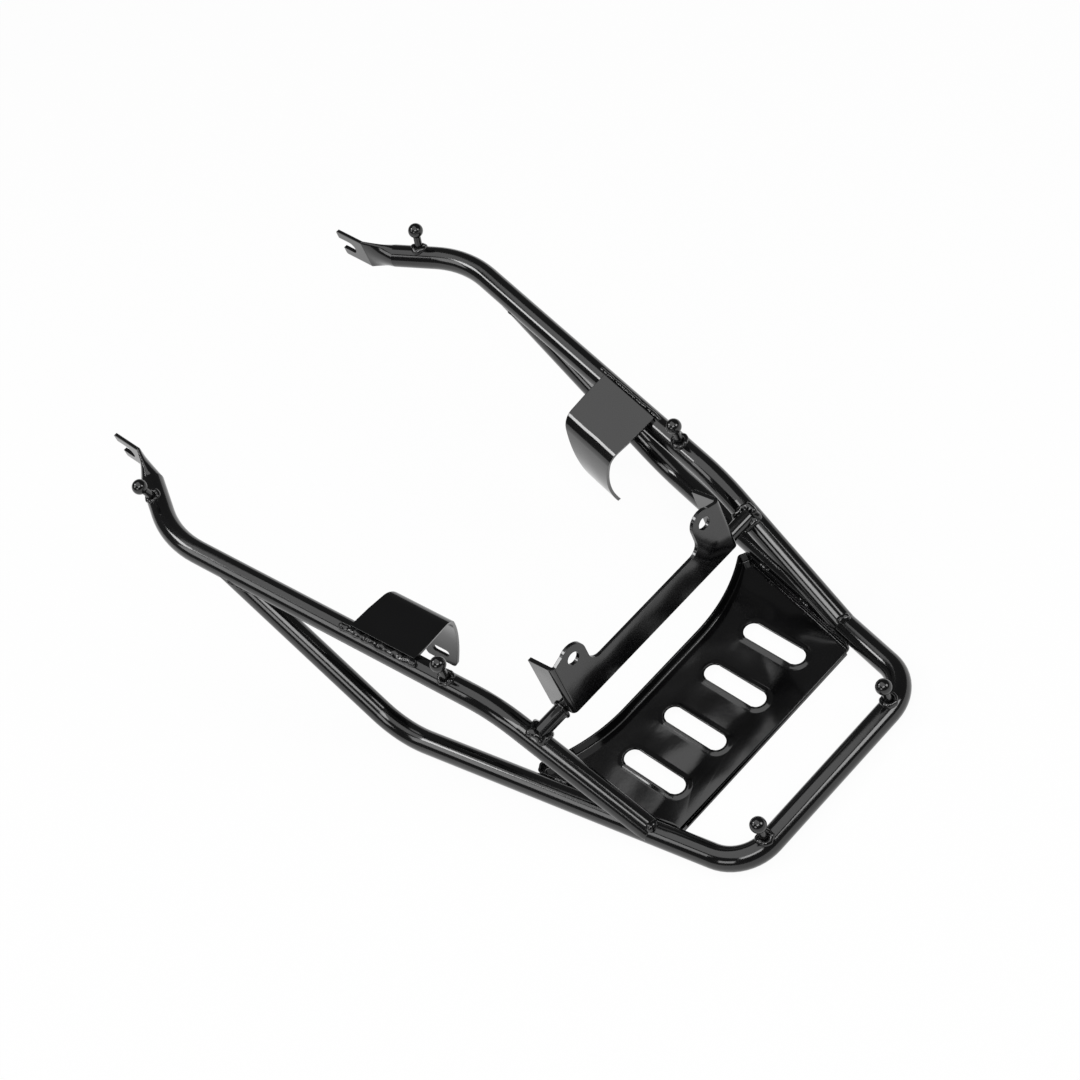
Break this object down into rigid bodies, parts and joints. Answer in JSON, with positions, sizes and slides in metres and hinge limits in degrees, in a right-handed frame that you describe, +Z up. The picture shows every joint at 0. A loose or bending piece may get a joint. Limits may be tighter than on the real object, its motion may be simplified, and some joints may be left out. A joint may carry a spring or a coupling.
{
  "type": "motorcycle luggage rack",
  "caption": "Welded tubular motorcycle rear rack with a slotted pressed deck, raised side tubes, forked mounting tabs, saddle brackets and ball-ended strap pegs, painted gloss black.",
  "frame": {"origin": "centre of the footprint, on the surface that the loop rests on", "axes": "+X to the rack's right, +Y forward to the forked tabs, +Z up"},
  "size_m": [0.338, 0.612, 0.1718],
  "materials": {
    "tube_paint": "gloss",
    "sheet_paint": "gloss",
    "weld_paint": "gloss"
  },
  "bodies": {
    "root": {"cross_bracket": "sheet_paint", "deck_plate": "sheet_paint", "deck_weld_front_left": "weld_paint", "deck_weld_front_right": "weld_paint", "deck_weld_rear_left": "weld_paint", "deck_weld_rear_right": "weld_paint", "leg_weld_left": "weld_paint", "leg_weld_right": "weld_paint", "peg_weld_front_left": "weld_paint", "peg_weld_front_right": "weld_paint", "peg_weld_mid_left": "weld_paint", "peg_weld_mid_right": "weld_paint", "peg_weld_rear_left": "weld_paint", "peg_weld_rear_right": "weld_paint", "rear_loop_tube": "tube_paint", "saddle_bracket_left": "sheet_paint", "saddle_bracket_right": "sheet_paint", "saddle_weld_left": "weld_paint", "saddle_weld_right": "weld_paint", "strap_peg_front_left": "tube_paint", "strap_peg_front_right": "tube_paint", "strap_peg_mid_left": "tube_paint", "strap_peg_mid_right": "tube_paint", "strap_peg_rear_left": "tube_paint", "strap_peg_rear_right": "tube_paint", "stub_flange_weld_left": "weld_paint", "stub_flange_weld_right": "weld_paint", "stub_rod_left": "tube_paint", "stub_rod_right": "tube_paint", "stub_tube_weld_left": "weld_paint", "stub_tube_weld_right": "weld_paint", "tail_weld_left": "weld_paint", "tail_weld_right": "weld_paint", "upper_tube_left": "tube_paint", "upper_tube_right": "tube_paint"}
  },
  "joints": []
}
